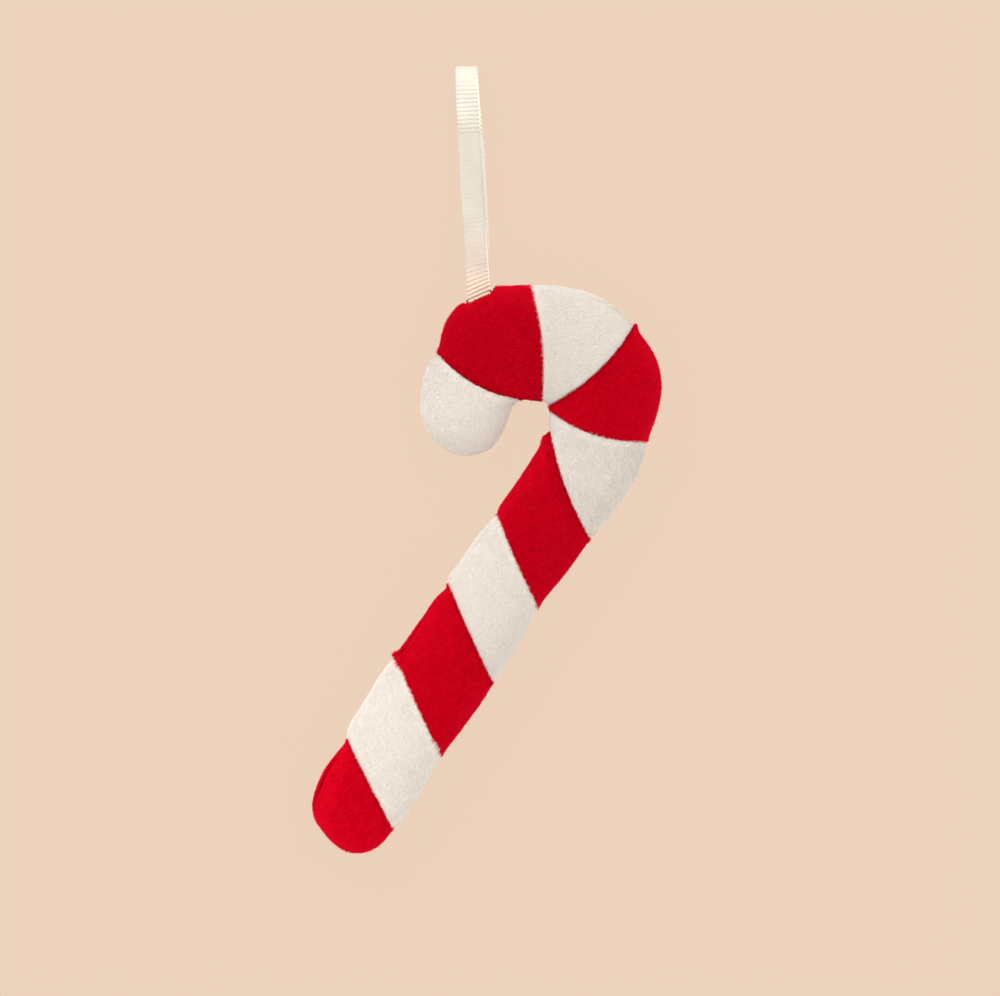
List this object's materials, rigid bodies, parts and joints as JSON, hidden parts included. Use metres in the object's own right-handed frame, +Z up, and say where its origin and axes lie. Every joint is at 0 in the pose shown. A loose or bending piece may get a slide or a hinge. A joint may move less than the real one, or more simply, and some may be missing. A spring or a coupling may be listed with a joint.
{
  "type": "plush candy cane ornament",
  "caption": "Stuffed plush candy cane in slanted red and white bands with a ribbon loop sewn into its crook, lying on its back.",
  "frame": {"origin": "under the middle of the cane's outline, on the surface it lies on; the ribbon is left out of the outline", "axes": "+Z up out of the shown side, +Y the way the ribbon leads from the crook, +X to the right with the hook's tip on the left"},
  "size_m": [0.0992, 0.2245, 0.022],
  "materials": {
    "red_plush": "short brushed pile, matt with a soft lighter rim",
    "white_plush": "short brushed pile, matt off-white",
    "cream_ribbon": "ribbed grosgrain, soft sheen"
  },
  "bodies": {
    "root": {"tip_white": "white_plush", "hook_red": "red_plush", "crown_white": "white_plush", "shoulder_red": "red_plush", "neck_white": "white_plush", "upper_red": "red_plush", "middle_white": "white_plush", "lower_red": "red_plush", "heel_white": "white_plush", "toe_red": "red_plush", "ribbon_loop": "cream_ribbon"}
  },
  "joints": []
}
